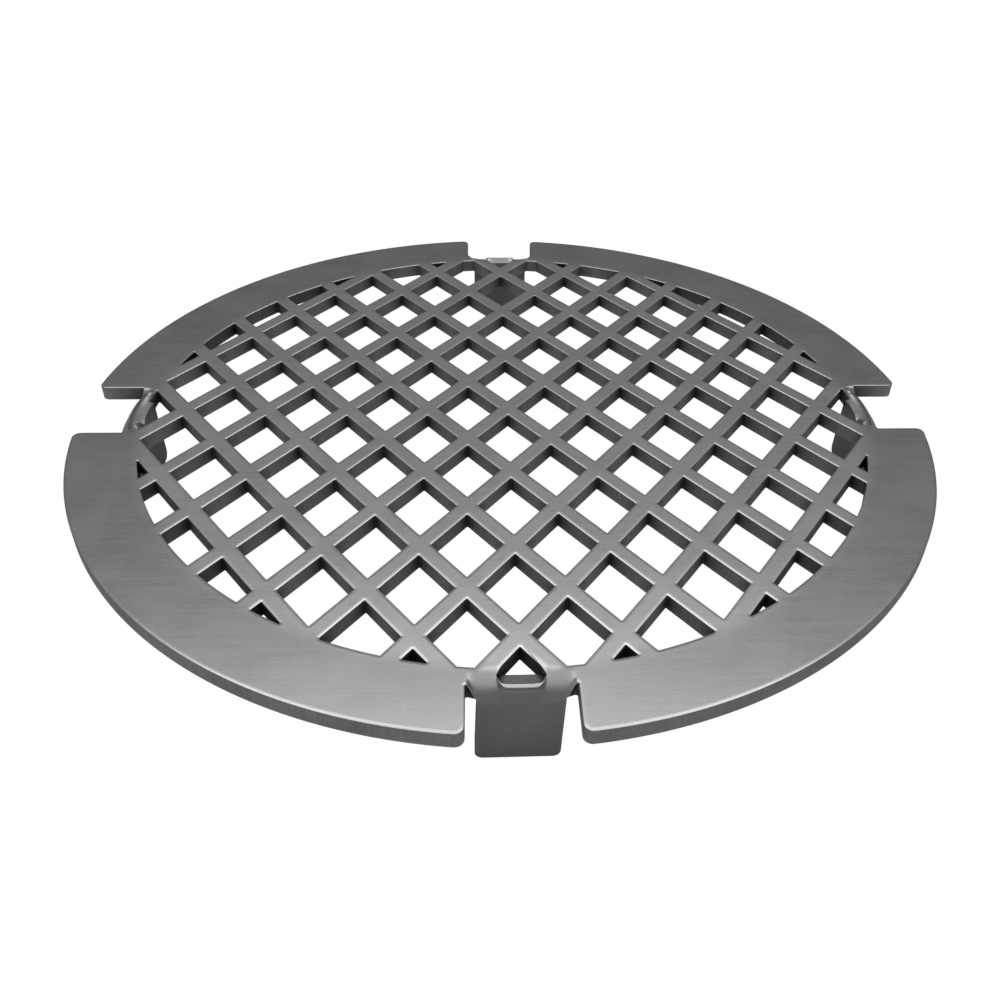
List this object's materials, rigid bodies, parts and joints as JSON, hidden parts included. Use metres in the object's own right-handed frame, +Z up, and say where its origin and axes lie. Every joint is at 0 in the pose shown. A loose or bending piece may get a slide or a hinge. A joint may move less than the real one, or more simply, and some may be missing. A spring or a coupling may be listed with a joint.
{
  "type": "floor drain grate",
  "caption": "Round flat plate with a diamond lattice, a solid rim with notches, and bent-down tabs that centre it in a drain frame.",
  "frame": {"origin": "centre of the round plate, on its underside, the face that sits on the drain frame", "axes": "+Z up out of the floor; -Y towards the front tab, +Y towards the rear tab, -X and +X towards the left and right tabs"},
  "size_m": [0.3028, 0.3028, 0.0289],
  "materials": {
    "plate_steel": "satin, finely brushed from left to right",
    "tab_steel": "satin, slightly duller over the bend"
  },
  "bodies": {
    "root": {"grate_plate": "plate_steel", "front_tab": "tab_steel", "rear_tab": "tab_steel", "left_tab": "tab_steel", "right_tab": "tab_steel"}
  },
  "joints": []
}
